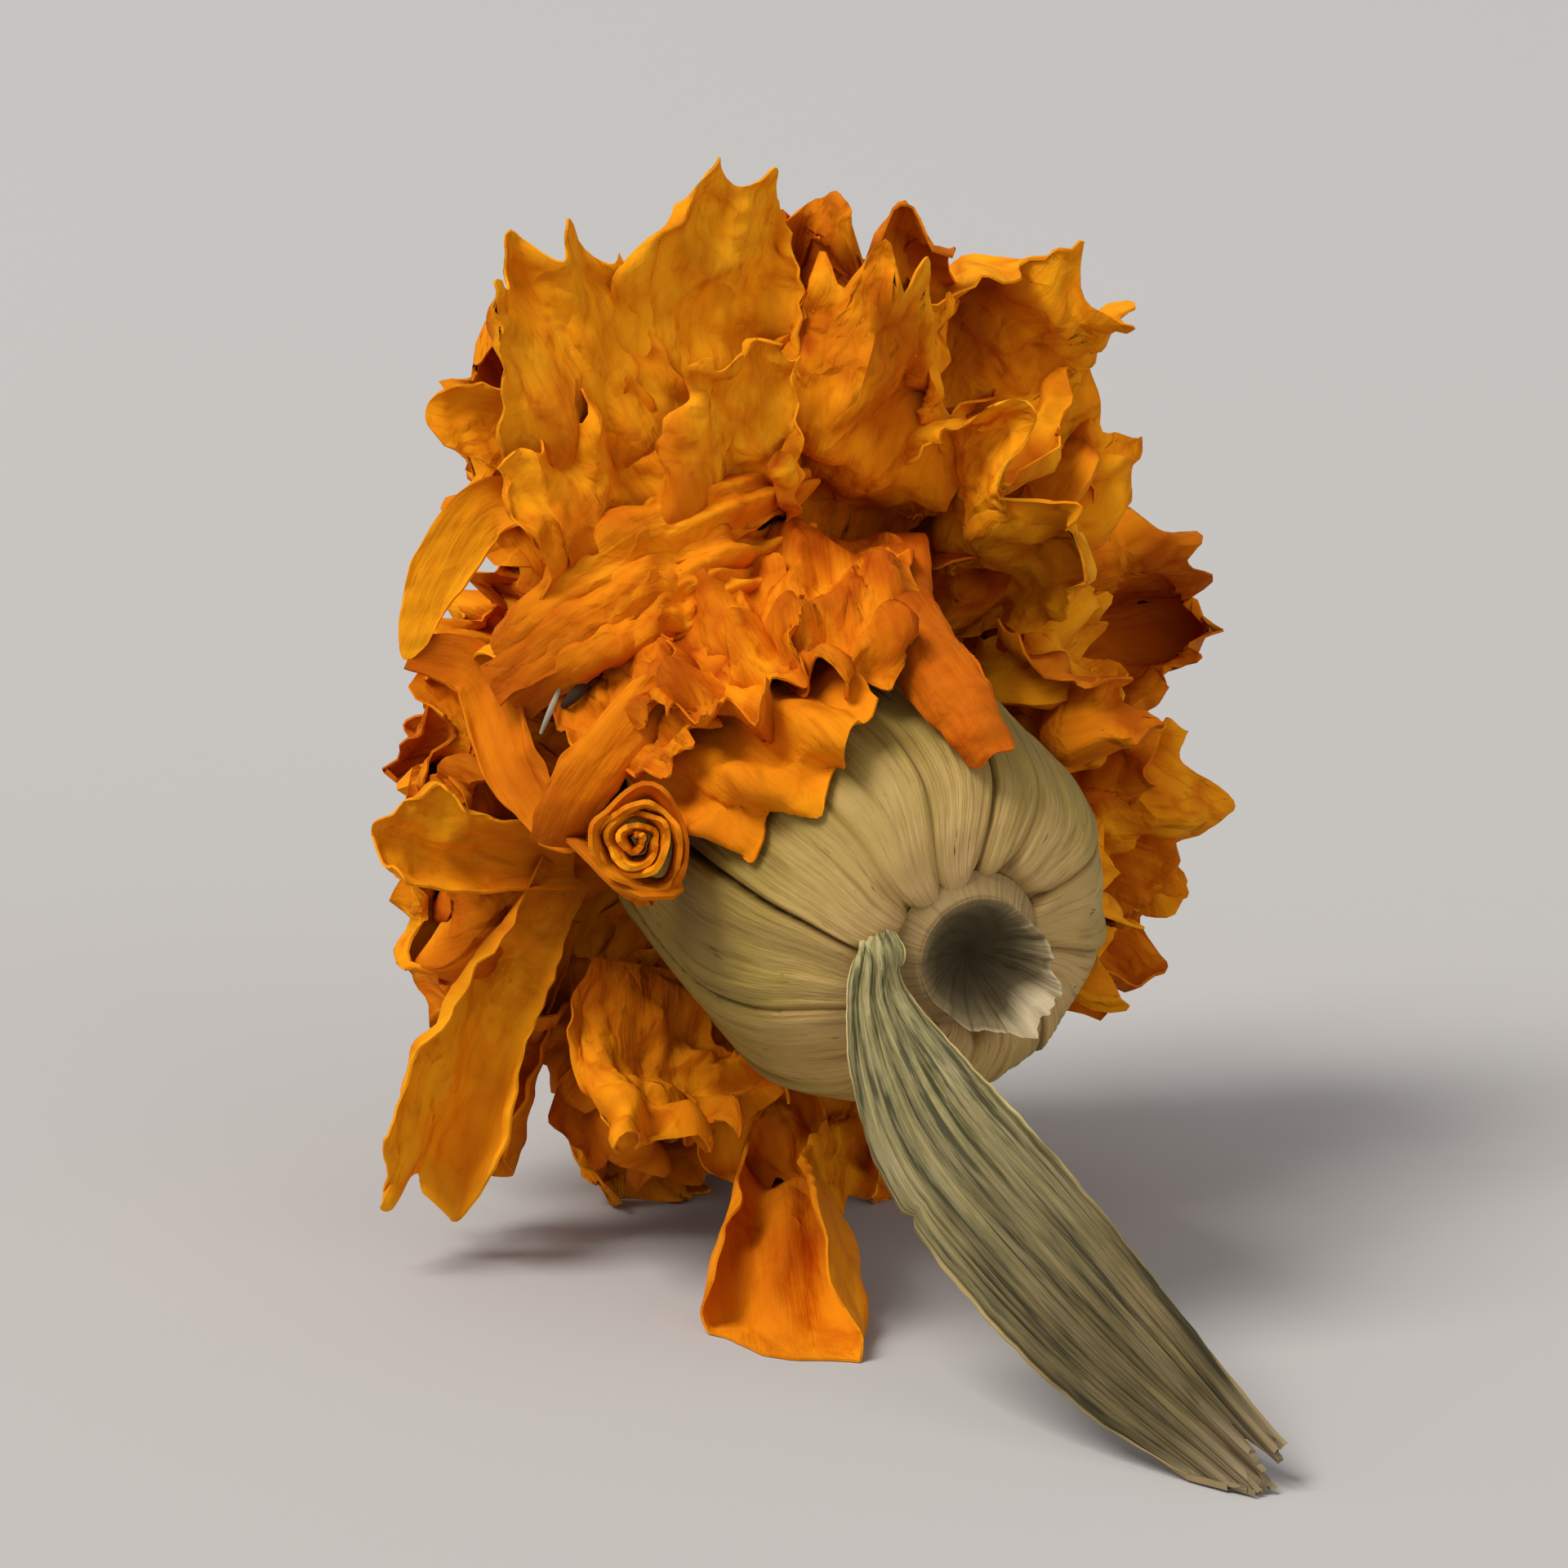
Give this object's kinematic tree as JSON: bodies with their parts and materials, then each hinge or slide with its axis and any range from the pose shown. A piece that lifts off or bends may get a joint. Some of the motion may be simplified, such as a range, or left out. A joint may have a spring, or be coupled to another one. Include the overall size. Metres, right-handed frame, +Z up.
{
  "type": "marigold flower",
  "caption": "Dried marigold head lying on its petals: crumpled orange petals, dark disc, ribbed cup, torn stem stub and one narrow leaf.",
  "frame": {"origin": "on the surface it lies on, under the middle of the flower's box", "axes": "+Z up; the head looks away towards +Y, turned a little to -X, and the leaf reaches down towards -Y and +X"},
  "size_m": [0.0316, 0.0462, 0.0374],
  "materials": {
    "petal": "matte",
    "disc": "matte",
    "cup": "matte",
    "stem": "matte",
    "leaf": "matte"
  },
  "bodies": {
    "root": {"ray_petals": "petal", "disc_florets": "disc", "involucre": "cup", "peduncle": "stem", "leaf": "leaf"}
  },
  "joints": []
}
